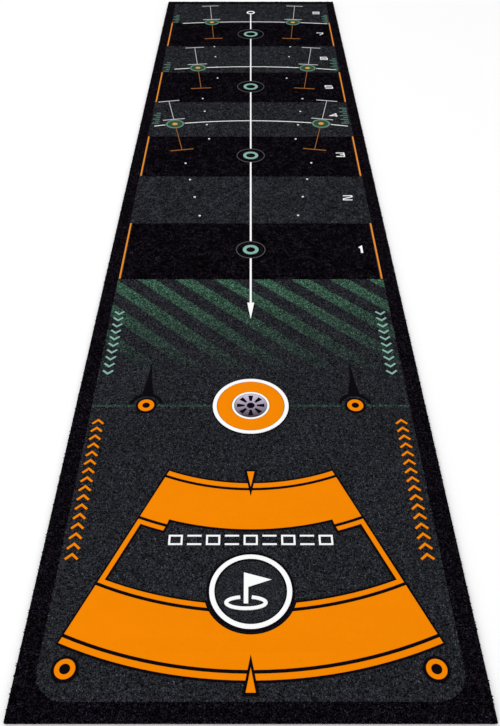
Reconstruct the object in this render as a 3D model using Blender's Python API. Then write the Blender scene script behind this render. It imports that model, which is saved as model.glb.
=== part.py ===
"""Practice putting mat, lying flat on the floor.

Frame: +Z up, X across the mat, Y along it, from the target end (-Y) to the far putting end (+Y).
The origin is the centre of the underside, and every size is in metres.

The mat is a laminate: a rubber backing, a cloth on it, and pile on the cloth. The pile is laid in
panels of one colour each. The bright marks are let into pockets cut part of the way into the panels,
flush with the pile. "Distance" below always means the distance from the target end of the mat.
"""

from math import acos, atan2, ceil, cos, pi, radians, sin, sqrt, tan

import bmesh
import bpy

# Overall size
LENGTH = 2.150
WIDTH = 0.500

# Layers, from the floor up
BACKING_THICKNESS = 0.0020
CLOTH_THICKNESS = 0.0006
PILE_THICKNESS = 0.0030
CLOTH_SETBACK = 0.0005  # the cloth stops this far inside the backing's edge
FIT = 0.0003  # clearance between neighbouring pieces, sideways and up and down
POCKET_DEPTH = 0.0015  # how deep a mark is let into the pile
ROUNDNESS = 0.00006  # how far a facet may stray from its true arc

# Border and panels
BORDER_SIDE = 0.0225
BORDER_NEAR = 0.0210
BORDER_FAR = 0.0220
FIELD_CORNER_RADIUS = 0.034
LANE_START = 0.7445  # distance at which the banded lane begins
LANE_BANDS = 8
LANE_END_INSET = 0.0071  # the last band would end here, under the far border
SIDE_STRIPE_WIDTH = 0.0050

# Centre line, its start ring and its arrow head
CENTRE_LINE_WIDTH = 0.0050
START_SPOT_INSET = 0.0975  # from the far end of the mat
START_SPOT_OUTER = 0.0250
START_SPOT_INNER = 0.0150
ARROW_REACH = 0.1075  # how far the arrow's tip stands short of the lane
ARROW_LENGTH = 0.0420
ARROW_WIDTH = 0.0115

# Distance rings at the centre of every odd band, which grow with the distance
RING_ZONE_OUTER = 0.0545  # the clear disc round the first ring, where the centre line stops
RING_ZONE_GROWTH = 0.0065
DISTANCE_RING_OUTER = 0.0315
DISTANCE_RING_GROWTH = 0.0033
DISTANCE_RING_WALL = 0.0080

# Ball marks, by band: how many band lengths up the lane the start arc crosses the centre line, and
# how far inside the lane's left and right side the two marks on it lie
BALL_MARKS = {4: (3.435, 0.0560, 0.0680), 6: (5.198, 0.0920, 0.0815), 8: (7.045, 0.1160, 0.1065)}
BALL_RING_OUTER = 0.0427
BALL_RING_WALL = 0.0050

# Hole mark
HOLE_DISTANCE = 0.4437
HOLE_OUTER = 0.1090
HOLE_RIM_WALL = 0.0064
HOLE_COLLAR_OUTER = 0.0544
HOLE_COLLAR_WALL = 0.0038
PLATE_SLOTS = 8
PLATE_SLOT_INNER_RADIUS = 0.0087
PLATE_SLOT_OUTER_RADIUS = 0.0196
PLATE_SLOT_INNER_WIDTH = 0.0031
PLATE_SLOT_OUTER_WIDTH = 0.0073
PLATE_CENTRE_HOLE = 0.0114

# Small orange rings beside the hole and in the near corners
SIDE_TARGET_INSET = 0.0780
SIDE_TARGET_OUTER = 0.0247
SIDE_TARGET_HOLE = 0.0100
CORNER_RING_INSET = 0.0300
CORNER_RING_OUTER = 0.0244
CORNER_RING_HOLE = 0.0110
CORNER_RING_CLEARANCE = 0.0104  # to the emblem's near stripe

# Emblem: pieces between arcs about one centre, cut off at the sides along two straight lines
EMBLEM_CENTRE_DISTANCE = 0.590
EMBLEM_SIDE_MARGIN = 0.0175  # from the near stripe's corner to the field's side
EMBLEM_SIDE_ANGLE = radians(23.2)
EMBLEM_LINE = 0.0036  # pile left between neighbouring pieces
FAR_STRIPE_RADIUS = 0.2866
STRIPE_WIDTH = 0.0078
FAR_BAND_WIDTH = 0.0600
FAR_BAND_LIP = 0.0075  # how much wider the far band is above each frame arm
FRAME_WIDTH = 0.0065
FRAME_ARM = 0.0370
NEAR_FRAME_RADIUS = 0.4600
NEAR_BAND_WIDTH = 0.0660
BADGE_DISTANCE = 0.1485
BADGE_OUTER = 0.0970
BADGE_WALL = 0.0070
BADGE_CLEARANCE = 0.0055
POINTER_OUTLINE = 0.0015
FAR_POINTER_BASE = 0.3240
FAR_POINTER_WIDTH = 0.0124
FAR_POINTER_LENGTH = 0.0325
NEAR_POINTER_BASE = 0.0288
NEAR_POINTER_WIDTH = 0.0134
NEAR_POINTER_LENGTH = 0.0340

# Places that follow from the sizes above
NEAR_END = -LENGTH / 2
FAR_END = LENGTH / 2
FIELD_HALF = WIDTH / 2 - BORDER_SIDE
FIELD_NEAR = NEAR_END + BORDER_NEAR
FIELD_FAR = FAR_END - BORDER_FAR
LANE_PITCH = (LENGTH - LANE_END_INSET - LANE_START) / LANE_BANDS
CLOTH_BOTTOM = BACKING_THICKNESS + FIT
PILE_BOTTOM = CLOTH_BOTTOM + CLOTH_THICKNESS + FIT
PILE_TOP = PILE_BOTTOM + PILE_THICKNESS
POCKET_BOTTOM = PILE_TOP - POCKET_DEPTH
MARK_BOTTOM = POCKET_BOTTOM + FIT
CUTTER_TOP = PILE_TOP + PILE_THICKNESS
EMBLEM_CENTRE = NEAR_END + EMBLEM_CENTRE_DISTANCE
FAR_BAND_RADIUS = FAR_STRIPE_RADIUS + STRIPE_WIDTH + EMBLEM_LINE
FAR_FRAME_RADIUS = FAR_BAND_RADIUS + FAR_BAND_WIDTH + FAR_BAND_LIP + EMBLEM_LINE
NEAR_BAND_RADIUS = NEAR_FRAME_RADIUS + FRAME_WIDTH + EMBLEM_LINE
NEAR_STRIPE_RADIUS = NEAR_BAND_RADIUS + NEAR_BAND_WIDTH + EMBLEM_LINE
BADGE_CENTRE = NEAR_END + BADGE_DISTANCE
LEFT, RIGHT = -1, 1

# Colour as it is seen, 0 to 255, then roughness and metallic value
FINISHES = {
    "black_rubber": ((22, 22, 23), 0.85, 0.0),
    "woven_cloth": ((58, 60, 62), 0.90, 0.0),
    "black_pile": ((12, 9, 14), 0.95, 0.0),
    "grey_pile": ((35, 36, 40), 0.95, 0.0),
    "orange_flock": ((241, 133, 2), 0.80, 0.0),
    "white_flock": ((250, 250, 250), 0.80, 0.0),
    "mint_flock": ((120, 180, 160), 0.80, 0.0),
    "cup_metal": ((170, 160, 182), 0.45, 0.6),
}


def linear(value):
    """The linear value of one colour channel from 0 to 255."""
    share = value / 255
    return share / 12.92 if share <= 0.04045 else ((share + 0.055) / 1.055) ** 2.4


def finish(name):
    """The material of that name, made the first time that it is asked for."""
    if name in bpy.data.materials:
        return bpy.data.materials[name]
    seen, roughness, metallic = FINISHES[name]
    colour = tuple(linear(value) for value in seen) + (1.0,)
    material = bpy.data.materials.new(name)
    material.use_nodes = True
    material.diffuse_color = colour
    shader = material.node_tree.nodes["Principled BSDF"]
    shader.inputs["Base Color"].default_value = colour
    shader.inputs["Roughness"].default_value = roughness
    shader.inputs["Metallic"].default_value = metallic
    return material


# Outlines: lists of (x, y) points


def along(distance):
    """The Y of a distance from the target end."""
    return NEAR_END + distance


def lane_y(bands):
    """The Y at so many band lengths up the lane."""
    return along(LANE_START + bands * LANE_PITCH)


def arc(centre, radius, start, end):
    """Points on an arc from one angle to another, both included; angles are measured from +X."""
    step = 2 * acos(1 - ROUNDNESS / radius)
    steps = max(2, ceil(abs(end - start) / step))
    angles = [start + (end - start) * k / steps for k in range(steps + 1)]
    return [(centre[0] + radius * cos(a), centre[1] + radius * sin(a)) for a in angles]


def circle(centre, diameter):
    return arc(centre, diameter / 2, 0, 2 * pi)[:-1]


def bar(x0, x1, y0, y1):
    return [(x0, y0), (x1, y0), (x1, y1), (x0, y1)]


def mirrored(outline):
    """The outline on the other side of the mat's long axis."""
    return [(-x, y) for x, y in reversed(outline)]


# Solids


def prism(name, outlines, bottom, top, material=None):
    """A solid between two levels. Outlines that lie inside another one are holes through it."""
    curve = bpy.data.curves.new(name, "CURVE")
    curve.dimensions = "2D"
    curve.fill_mode = "BOTH"
    curve.extrude = (top - bottom) / 2
    for outline in outlines:
        spline = curve.splines.new("POLY")
        spline.points.add(len(outline) - 1)
        for point, (x, y) in zip(spline.points, outline):
            point.co = (x, y, 0, 1)
        spline.use_cyclic_u = True
    sketch = bpy.data.objects.new(name + "_sketch", curve)
    bpy.context.scene.collection.objects.link(sketch)
    graph = bpy.context.evaluated_depsgraph_get()
    mesh = bpy.data.meshes.new_from_object(sketch.evaluated_get(graph))
    bpy.data.objects.remove(sketch)
    bpy.data.curves.remove(curve)
    mesh.name = name
    shape = bmesh.new()
    shape.from_mesh(mesh)
    bmesh.ops.remove_doubles(shape, verts=shape.verts, dist=1e-6)
    bmesh.ops.translate(shape, verts=shape.verts, vec=(0, 0, (top + bottom) / 2))
    bmesh.ops.recalc_face_normals(shape, faces=shape.faces)
    shape.to_mesh(mesh)
    shape.free()
    solid = bpy.data.objects.new(name, mesh)
    bpy.context.scene.collection.objects.link(solid)
    if material:
        mesh.materials.append(finish(material))
    return solid


def extent(outline):
    xs = [x for x, _ in outline]
    ys = [y for _, y in outline]
    return min(xs), max(xs), min(ys), max(ys)


def meets(a, b):
    """Whether two extents share some area."""
    return a[0] < b[1] and b[0] < a[1] and a[2] < b[3] and b[2] < a[3]


class Pile:
    """The pile panels, and the pockets that the marks are let into."""

    def __init__(self):
        self.panels = []

    def panel(self, name, outline, material):
        solid = prism(name, [outline], PILE_BOTTOM, PILE_TOP, material)
        self.panels.append((solid, extent(outline)))

    def pocket(self, name, outlines):
        """Cuts a pocket of these outlines into each panel that it reaches."""
        cutter = prism(name + "_pocket", outlines, POCKET_BOTTOM, CUTTER_TOP)
        cutter.hide_render = True
        cutter.display_type = "WIRE"
        for panel, reach in self.panels:
            if not meets(reach, extent(outlines[0])):
                continue
            cut = panel.modifiers.new(cutter.name, "BOOLEAN")
            cut.operation = "DIFFERENCE"
            cut.solver = "EXACT"
            cut.object = cutter

    def mark(self, name, outlines_at, material):
        """A mark in its own pocket. outlines_at(grow) gives its outlines, grown by that much."""
        prism(name, outlines_at(0), MARK_BOTTOM, PILE_TOP, material)
        self.pocket(name, outlines_at(FIT))


# Backing and cloth


def make_backing():
    outline = bar(-WIDTH / 2, WIDTH / 2, NEAR_END, FAR_END)
    prism("rubber_backing", [outline], 0, BACKING_THICKNESS, "black_rubber")
    edge = WIDTH / 2 - CLOTH_SETBACK
    cloth = bar(-edge, edge, NEAR_END + CLOTH_SETBACK, FAR_END - CLOTH_SETBACK)
    prism("primary_cloth", [cloth], CLOTH_BOTTOM, CLOTH_BOTTOM + CLOTH_THICKNESS, "woven_cloth")


# Panels


def near_corner(side, radius):
    """The field's rounded near corner on one side, from the side edge round to the near edge."""
    centre = (side * (FIELD_HALF - FIELD_CORNER_RADIUS), FIELD_NEAR + FIELD_CORNER_RADIUS)
    start = 0 if side == RIGHT else pi
    return arc(centre, radius, start, -pi / 2 if side == RIGHT else 3 * pi / 2)


def make_border(pile):
    seam = FIT / 2
    inner = FIELD_HALF + seam
    arm_top = FIELD_NEAR + FIELD_CORNER_RADIUS
    corners = near_corner(LEFT, FIELD_CORNER_RADIUS + seam)
    corners += reversed(near_corner(RIGHT, FIELD_CORNER_RADIUS + seam))
    ends = [(WIDTH / 2, arm_top), (WIDTH / 2, NEAR_END), (-WIDTH / 2, NEAR_END), (-WIDTH / 2, arm_top)]
    pile.panel("border_near", corners + ends, "black_pile")
    far = bar(-WIDTH / 2, WIDTH / 2, FIELD_FAR + seam, FAR_END)
    pile.panel("border_far", far, "black_pile")
    side = bar(inner, WIDTH / 2, arm_top + FIT, FIELD_FAR - seam)
    pile.panel("border_right", side, "black_pile")
    pile.panel("border_left", mirrored(side), "black_pile")


def make_target_field(pile):
    seam = FIT / 2
    outline = near_corner(RIGHT, FIELD_CORNER_RADIUS - seam)
    outline += reversed(near_corner(LEFT, FIELD_CORNER_RADIUS - seam))
    top = lane_y(0) - seam
    outline += [(-FIELD_HALF + seam, top), (FIELD_HALF - seam, top)]
    pile.panel("target_field", outline, "grey_pile")


def make_lane(pile):
    """The bands across the lane; a black one has an orange stripe along each of its ends."""
    seam = FIT / 2
    for band in range(1, LANE_BANDS + 1):
        low = lane_y(band - 1) + seam
        high = min(lane_y(band), FIELD_FAR) - seam
        black = band % 2 == 1
        edge = FIELD_HALF - seam
        if black:
            stripe = bar(edge - SIDE_STRIPE_WIDTH, edge, low, high)
            pile.panel(f"side_stripe_right_{band}", stripe, "orange_flock")
            pile.panel(f"side_stripe_left_{band}", mirrored(stripe), "orange_flock")
            edge -= SIDE_STRIPE_WIDTH + FIT
        outline = bar(-edge, edge, low, high)
        pile.panel(f"lane_band_{band}", outline, "black_pile" if black else "grey_pile")


# Marks


def ring(centre, outer, wall):
    """The outlines of a ring by how much it is grown."""
    return lambda grow: [
        circle(centre, outer + 2 * grow),
        circle(centre, outer - 2 * wall - 2 * grow),
    ]


def make_centre_line(pile):
    """The start spot's ring, the line in stretches between the distance rings, and the arrow."""
    half = CENTRE_LINE_WIDTH / 2
    start = along(LENGTH - START_SPOT_INSET)
    wall = (START_SPOT_OUTER - START_SPOT_INNER) / 2
    pile.mark("start_spot_ring", ring((0, start), START_SPOT_OUTER, wall), "white_flock")
    upper = start - START_SPOT_OUTER / 2 - 2 * FIT
    odd_bands = range(LANE_BANDS - 1, 0, -2)
    for stretch, band in enumerate(odd_bands, 1):
        centre = lane_y(band - 0.5)
        radius = (RING_ZONE_OUTER + RING_ZONE_GROWTH * (band - 1) / 2) / 2

        def stretch_at(grow, low=centre + radius, high=upper):
            return [bar(-half - grow, half + grow, low - grow, high + grow)]

        pile.mark(f"centre_line_{stretch}", stretch_at, "white_flock")
        upper = centre - radius
        outer = DISTANCE_RING_OUTER + DISTANCE_RING_GROWTH * (band - 1) / 2
        spot = ring((0, centre), outer, DISTANCE_RING_WALL)
        pile.mark(f"distance_ring_{band}", spot, "mint_flock")

    tip = lane_y(0) - ARROW_REACH

    def arrow_at(grow):
        neck, wide = half + grow, ARROW_WIDTH / 2 + grow
        base, top, point = tip + ARROW_LENGTH, upper + grow, tip - grow
        right = [(neck, top), (neck, base + grow), (wide, base + grow), (grow, point)]
        if grow == 0:
            right = right[:-1]
            return [[(0, point)] + right[::-1] + [(-x, y) for x, y in right]]
        return [right[::-1] + [(-x, y) for x, y in right]]

    pile.mark(f"centre_line_{len(odd_bands) + 1}", arrow_at, "white_flock")


def make_ball_marks(pile):
    """A ring on each side of the lane, on each of the three start arcs about the hole."""
    for band, (bands_up, left_inset, right_inset) in BALL_MARKS.items():
        radius = lane_y(bands_up) - along(HOLE_DISTANCE)
        for side, word, inset in ((LEFT, "left", left_inset), (RIGHT, "right", right_inset)):
            x = side * (FIELD_HALF - inset)
            y = along(HOLE_DISTANCE) + sqrt(radius**2 - x**2)
            spot = ring((x, y), BALL_RING_OUTER, BALL_RING_WALL)
            pile.mark(f"ball_ring_{word}_{band}", spot, "mint_flock")


def plate_slot(centre, angle):
    """A keystone slot, narrow towards the plate's centre."""
    ends = (
        (PLATE_SLOT_INNER_RADIUS, PLATE_SLOT_INNER_WIDTH / 2),
        (PLATE_SLOT_OUTER_RADIUS, PLATE_SLOT_OUTER_WIDTH / 2),
    )
    (r0, w0), (r1, w1) = ends
    corners = [(r0, -w0), (r1, -w1), (r1, w1), (r0, w0)]
    return [
        (centre[0] + r * cos(angle) - w * sin(angle), centre[1] + r * sin(angle) + w * cos(angle))
        for r, w in corners
    ]


def make_hole_mark(pile):
    """Three rings and a slotted plate, side by side in one round pocket."""
    centre = (0, along(HOLE_DISTANCE))
    pile.pocket("hole", [circle(centre, HOLE_OUTER + 2 * FIT)])
    field_outer = HOLE_OUTER - 2 * HOLE_RIM_WALL - 2 * FIT
    field_wall = (field_outer - HOLE_COLLAR_OUTER) / 2 - FIT
    plate = HOLE_COLLAR_OUTER - 2 * HOLE_COLLAR_WALL - 2 * FIT
    rings = (
        ("hole_rim", HOLE_OUTER, HOLE_RIM_WALL, "white_flock"),
        ("hole_disc", field_outer, field_wall, "orange_flock"),
        ("hole_collar", HOLE_COLLAR_OUTER, HOLE_COLLAR_WALL, "white_flock"),
    )
    for name, outer, wall, material in rings:
        prism(name, ring(centre, outer, wall)(0), MARK_BOTTOM, PILE_TOP, material)
    slots = [plate_slot(centre, 2 * pi * k / PLATE_SLOTS) for k in range(PLATE_SLOTS)]
    outlines = [circle(centre, plate), circle(centre, PLATE_CENTRE_HOLE)] + slots
    prism("hole_plate", outlines, MARK_BOTTOM, PILE_TOP, "cup_metal")


def make_small_rings(pile):
    """A ring on each side of the hole, and one in each near corner below the emblem."""
    corner_x = FIELD_HALF - CORNER_RING_INSET
    reach = NEAR_STRIPE_RADIUS + STRIPE_WIDTH + CORNER_RING_CLEARANCE + CORNER_RING_OUTER / 2
    corner_y = EMBLEM_CENTRE - sqrt(reach**2 - corner_x**2)
    target_x = FIELD_HALF - SIDE_TARGET_INSET
    target_wall = (SIDE_TARGET_OUTER - SIDE_TARGET_HOLE) / 2
    corner_wall = (CORNER_RING_OUTER - CORNER_RING_HOLE) / 2
    for side, word in ((LEFT, "left"), (RIGHT, "right")):
        target = ring((side * target_x, along(HOLE_DISTANCE)), SIDE_TARGET_OUTER, target_wall)
        pile.mark(f"side_target_{word}", target, "orange_flock")
        corner = ring((side * corner_x, corner_y), CORNER_RING_OUTER, corner_wall)
        pile.mark(f"corner_ring_{word}", corner, "orange_flock")


# Emblem. Its arcs bulge towards the near end; angles below are measured from -Y, towards +X.


def bow(radius, start, end, centre=EMBLEM_CENTRE):
    """Points on an arc about the emblem's centre, or another one on the mat's axis."""
    return arc((0, centre), radius, start - pi / 2, end - pi / 2)


def side_angle(radius, inset):
    """Where the emblem's right side line, moved in by the inset, crosses an arc."""
    outer = NEAR_STRIPE_RADIUS + STRIPE_WIDTH
    x = FIELD_HALF - EMBLEM_SIDE_MARGIN
    y = -sqrt(outer**2 - x**2)
    across = (-sin(EMBLEM_SIDE_ANGLE), cos(EMBLEM_SIDE_ANGLE))
    x -= inset * cos(EMBLEM_SIDE_ANGLE)
    y -= inset * sin(EMBLEM_SIDE_ANGLE)
    half_b = x * across[0] + y * across[1]
    run = -half_b - sqrt(half_b**2 - (x * x + y * y - radius**2))
    return atan2(x + run * across[0], -(y + run * across[1]))


def badge_angle(radius, grow):
    """Where the clear disc round the badge crosses an arc."""
    clear = BADGE_OUTER / 2 + BADGE_CLEARANCE - grow
    apart = EMBLEM_CENTRE - BADGE_CENTRE
    return acos((radius**2 + apart**2 - clear**2) / (2 * radius * apart))


def pointer(base, width, length, towards, grow):
    """A slim triangle on the mat's axis. Its base is at a distance, its tip further or nearer."""
    lean = atan2(width / 2, length)
    y = along(base)
    tip = y + towards * (length + grow / sin(lean))
    foot = y - towards * grow
    half = width / 2 + grow / cos(lean) + grow * tan(lean)
    return [(-half, foot), (half, foot), (0, tip)]


def pointer_angle(outline, radius):
    """Where the right edge of a pointer's outline crosses an arc of the emblem."""
    (_, foot), (half, _), (_, tip) = outline
    y = EMBLEM_CENTRE - radius
    return atan2(half * (tip - y) / (tip - foot), radius)


def make_stripes(pile, word, radius, triangle):
    """A thin stripe on each side of a pointer."""

    def stripe_at(grow):
        near, far = radius + STRIPE_WIDTH + grow, radius - grow
        notch = pointer(*triangle, POINTER_OUTLINE - grow)
        outline = bow(far, pointer_angle(notch, far), side_angle(far, -grow))
        outline += bow(near, side_angle(near, -grow), pointer_angle(notch, near))
        return [outline]

    pile.mark(f"{word}_stripe_right", stripe_at, "orange_flock")
    pile.mark(f"{word}_stripe_left", lambda grow: [mirrored(stripe_at(grow)[0])], "orange_flock")


def make_far_band(pile, triangle):
    """The upper orange band, with a lip over each frame arm and a notch for the pointer's tip."""

    def band_at(grow):
        notch = pointer(*triangle, POINTER_OUTLINE - grow)
        far = FAR_BAND_RADIUS - grow
        middle = FAR_BAND_RADIUS + FAR_BAND_WIDTH + grow
        lip = middle + FAR_BAND_LIP
        step = side_angle(lip, 0) - (FRAME_ARM + grow) / lip
        side = bow(far, pointer_angle(notch, far), side_angle(far, -grow))
        side += bow(lip, side_angle(lip, -grow), step)
        side += bow(middle, step, 0)
        return [side + mirrored(side)[1:] + [notch[2]]]

    pile.mark("emblem_far_band", band_at, "orange_flock")


def make_frame(pile):
    """A three-sided frame on each side: a short arm, a side bar and a long arm to the badge."""

    def frame_at(grow):
        arm = FRAME_ARM + grow
        far, far_in = FAR_FRAME_RADIUS - grow, FAR_FRAME_RADIUS + FRAME_WIDTH + grow
        near_in, near = NEAR_FRAME_RADIUS - grow, NEAR_FRAME_RADIUS + FRAME_WIDTH + grow
        inner = FRAME_WIDTH + grow
        outline = bow(far, side_angle(far, 0) - arm / far, side_angle(far, -grow))
        outline += bow(near, side_angle(near, -grow), badge_angle(near, grow))
        outline += bow(near_in, badge_angle(near_in, grow), side_angle(near_in, inner))
        outline += bow(far_in, side_angle(far_in, inner), side_angle(far_in, 0) - arm / far_in)
        return [outline]

    pile.mark("emblem_frame_right", frame_at, "orange_flock")
    pile.mark("emblem_frame_left", lambda grow: [mirrored(frame_at(grow)[0])], "orange_flock")


def make_near_band(pile, triangle):
    """The lower orange band, hollowed round the badge and notched for the pointer's tip."""

    def band_at(grow):
        notch = pointer(*triangle, POINTER_OUTLINE - grow)
        far = NEAR_BAND_RADIUS - grow
        near = NEAR_BAND_RADIUS + NEAR_BAND_WIDTH + grow
        start = badge_angle(far, grow)
        clear = BADGE_OUTER / 2 + BADGE_CLEARANCE - grow
        corner_y = EMBLEM_CENTRE - far * cos(start)
        hollow = atan2(far * sin(start), BADGE_CENTRE - corner_y)
        side = bow(clear, 0, hollow, BADGE_CENTRE)[:-1]
        side += bow(far, start, side_angle(far, -grow))
        side += bow(near, side_angle(near, -grow), pointer_angle(notch, near))
        return [side + [notch[2]] + mirrored(side)[:-1]]

    pile.mark("emblem_near_band", band_at, "orange_flock")


def make_emblem(pile):
    far = (FAR_POINTER_BASE, FAR_POINTER_WIDTH, FAR_POINTER_LENGTH, -1)
    near = (NEAR_POINTER_BASE, NEAR_POINTER_WIDTH, NEAR_POINTER_LENGTH, 1)
    pile.mark("far_pointer", lambda grow: [pointer(*far, grow)], "orange_flock")
    pile.mark("near_pointer", lambda grow: [pointer(*near, grow)], "orange_flock")
    make_stripes(pile, "far", FAR_STRIPE_RADIUS, far)
    make_stripes(pile, "near", NEAR_STRIPE_RADIUS, near)
    make_far_band(pile, far)
    make_frame(pile)
    make_near_band(pile, near)
    badge = ring((0, BADGE_CENTRE), BADGE_OUTER, BADGE_WALL)
    pile.mark("emblem_badge_ring", badge, "white_flock")


def main():
    for item in list(bpy.data.objects):
        bpy.data.objects.remove(item)
    make_backing()
    pile = Pile()
    make_border(pile)
    make_target_field(pile)
    make_lane(pile)
    make_centre_line(pile)
    make_ball_marks(pile)
    make_hole_mark(pile)
    make_small_rings(pile)
    make_emblem(pile)


main()
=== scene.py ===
"""The looks of the practice putting mat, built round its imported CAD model.

X runs across the mat and Y along it, from the target end to the far putting end. Sizes are in metres.
"Distance" always means the distance from the target end. The mat is cut pile on a cloth on a rubber
backing: the ground colours stand as tufts, and the bright marks are shorn flock, flush with them.
"""

from math import acos, atan2, ceil, cos, hypot, pi, radians, sin, sqrt

import bmesh
import bpy
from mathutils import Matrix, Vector


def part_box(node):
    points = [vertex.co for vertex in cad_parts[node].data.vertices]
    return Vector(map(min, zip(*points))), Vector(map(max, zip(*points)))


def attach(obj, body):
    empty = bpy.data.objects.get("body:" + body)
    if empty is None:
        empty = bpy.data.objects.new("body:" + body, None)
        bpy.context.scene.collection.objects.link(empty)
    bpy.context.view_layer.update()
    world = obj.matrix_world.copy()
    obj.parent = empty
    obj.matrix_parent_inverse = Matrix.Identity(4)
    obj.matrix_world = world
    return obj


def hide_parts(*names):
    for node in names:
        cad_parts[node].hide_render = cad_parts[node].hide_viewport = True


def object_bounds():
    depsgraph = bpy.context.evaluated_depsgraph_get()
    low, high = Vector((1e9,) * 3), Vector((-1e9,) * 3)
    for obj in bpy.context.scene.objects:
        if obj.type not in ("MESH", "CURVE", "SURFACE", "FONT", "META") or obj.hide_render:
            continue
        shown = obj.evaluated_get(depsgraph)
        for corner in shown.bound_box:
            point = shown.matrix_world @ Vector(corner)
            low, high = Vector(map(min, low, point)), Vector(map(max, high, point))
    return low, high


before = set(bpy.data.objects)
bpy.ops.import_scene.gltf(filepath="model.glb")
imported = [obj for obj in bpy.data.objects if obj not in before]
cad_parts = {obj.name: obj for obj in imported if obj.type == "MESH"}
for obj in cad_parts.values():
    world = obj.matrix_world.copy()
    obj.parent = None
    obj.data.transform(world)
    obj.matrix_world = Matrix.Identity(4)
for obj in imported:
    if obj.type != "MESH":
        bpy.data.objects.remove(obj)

CAD_LOW, CAD_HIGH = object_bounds()
NEAR_END = CAD_LOW.y
PILE_TOP = CAD_HIGH.z
BODY = "root"
LANE_BANDS = 8
BALL_BANDS = (4, 6, 8)
SIDES = (("left", -1), ("right", 1))

# Pile
GROUND_TOP = 0.0047  # the level that the tufts stand on
TUFT_SPACING = 0.0022
TUFT_WIDTH = 0.0038
TUFT_LEAN = 0.30
EDGE_MARGIN = 0.0003  # how far a tuft's middle stays inside its panel
PRINT_MARGIN = 0.0009  # and outside what is printed
TUFT_DENSITY = 500000.0  # tries for each square metre, thinned to the spacing
TUFT_SIDES = 3
TUFT_LEAST_SIZE = (0.85, 0.85, 0.80)
TUFT_GREATEST_SIZE = (1.15, 1.15, 1.0)
TURN_SEED, SIZE_SEED, SHADE_SEED = 1, 2, 3

# Shorn marks and dyed lines
SHORN_FOOT = 0.0050
EDGE_ROUNDING = 0.0003
NAP_COVER = 0.0003  # how far the pile leans over a mark's edge
DYED_TOP = PILE_TOP - 0.00005
RIM_TOP = PILE_TOP - 0.0002
POINTER_RIM_TOP = PILE_TOP - 0.0003
HOLE_BED_TOP = PILE_TOP - 0.0008
BALL_FILL_TOP = PILE_TOP - 0.0001
START_ARC_TOP = DYED_TOP + 0.00003
ROUNDNESS = 0.00006  # how far a facet may stray from its true arc
CREASE_ANGLE = radians(50)  # edges sharper than this stay sharp
SAME_PLACE = 1e-6
SAME_LEVEL = 1e-5

# How far marks show less than their inlays: a cover moves all the edges in, a trim the outer one
EMBLEM_COVER = 0.0002
POINTER_COVER = 0.0011
SIDE_STRIPE_COVER = 0.0011
BADGE_TRIM = 0.0004
SIDE_TARGET_TRIM = 0.0005
CORNER_RING_TRIM = 0.0006
DISTANCE_RING_TRIM = 0.0012
BALL_RING_TRIM = 0.0005

# Widths of the black rims round the marks
EMBLEM_RIM = 0.0020
POINTER_RIM = 0.0020
RING_RIM = 0.0025
BADGE_RIM = 0.0024
BADGE_HOLE_RIM = 0.0012
HOLE_RIM = 0.0014
MITRE_LIMIT = 2.5  # in widths of the rim
POINTER_MITRE_LIMIT = 6.0

# Lines dyed into the lane
START_ARC_WIDTH = 0.0022
START_ARC_REACH = {4: (0.2175, 0.2190), 6: (0.1950, 0.2190), 8: (0.1950, 0.2190)}
START_ARC_GAP = 0.0006  # to a ball ring
ZONE_RING_OUTER = 0.0529
ZONE_RING_GROWTH = 0.0065
ZONE_RING_WALL = 0.0014
BALL_FILL = 0.0316
BALL_DOT = 0.0124
BALL_FILL_OVERLAP = 0.0002  # under the dot
GATE_BAR_LENGTH = 0.0500
GATE_BAR_WIDTH = 0.0024
GATE_STEM_WIDTH = 0.0014
GATE_NEAR_BAR = 0.0235  # beyond the ball ring's centre, away from the hole
GATE_FAR_BAR = {4: 0.1220, 6: 0.1370, 8: 0.1370}
GATE_BACK_BAR = 0.1245  # towards the hole
GATE_BACK_FOOT = 0.0222
GATE_GAP = 0.0004  # between the near bar and the stem
AIM_DOT = 0.0044
AIM_DOT_THICKNESS = 0.0012
AIM_DOT_SIDES = 16
AIM_DOT_COUNT = 4
AIM_DOT_START = 0.1840
AIM_DOT_SPACING = 0.0690
NUMERAL_SIZE = (0.0197, 0.0178)
NUMERAL_STROKE = 0.0024
NUMERAL_STROKE_ONE = 0.0040
NUMERAL_X = (0.1932, 0.1905, 0.1903, 0.1920, 0.1918, 0.1922, 0.1925, 0.1925)
NUMERAL_DISTANCES = (0.832, 1.0095, 1.1845, 1.3735, 1.5285, 1.7080, 1.8815, 2.0490)

# Colour as it is seen, 0 to 255
BLACK = (13, 10, 15)
GREY = (36, 37, 41)
FIELD_GREY = (35, 36, 40)
HATCH_GREEN = (54, 83, 68)
ORANGE = (241, 133, 2)
AMBER = (232, 142, 44)
DULL_ORANGE = (162, 102, 54)
GOLD = (208, 158, 72)
WHITE = (249, 249, 249)
PALE = (202, 202, 204)
MINT = (134, 178, 164)
SEA_GREEN = (98, 136, 120)
DEEP_GREEN = (54, 76, 57)
PALE_GREY = (84, 86, 89)
RUBBER = (24, 24, 26)
RUBBER_DUST = (58, 57, 56)
CLOTH = (92, 92, 90)
# The weave's painted shade, where its threads lie low
CLOTH_PAINTED_SHADE = (58, 58, 58)
# The slotted plate's own lavender grey, with painted shade for its near side and painted light for its far
# side
PLATE_PAINTED_SHADE = (58, 44, 62)
PLATE_PAINTED_LIGHT = (204, 192, 216)


# Places


def along(distance):
    """The Y of a distance from the target end."""
    return NEAR_END + distance


def middle(node):
    low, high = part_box(node)
    return (low + high) / 2


HOLE = middle("hole_rim")


# Outlines: lists of (x, y) points


def arc(centre, radius, start, end):
    """Points on an arc from one angle to another, both included; angles are measured from +X."""
    step = 2 * acos(1 - ROUNDNESS / radius)
    steps = max(2, ceil(abs(end - start) / step))
    angles = [start + (end - start) * k / steps for k in range(steps + 1)]
    return [(centre[0] + radius * cos(a), centre[1] + radius * sin(a)) for a in angles]


def circle(centre, diameter):
    return arc(centre, diameter / 2, 0, 2 * pi)[:-1]


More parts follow.
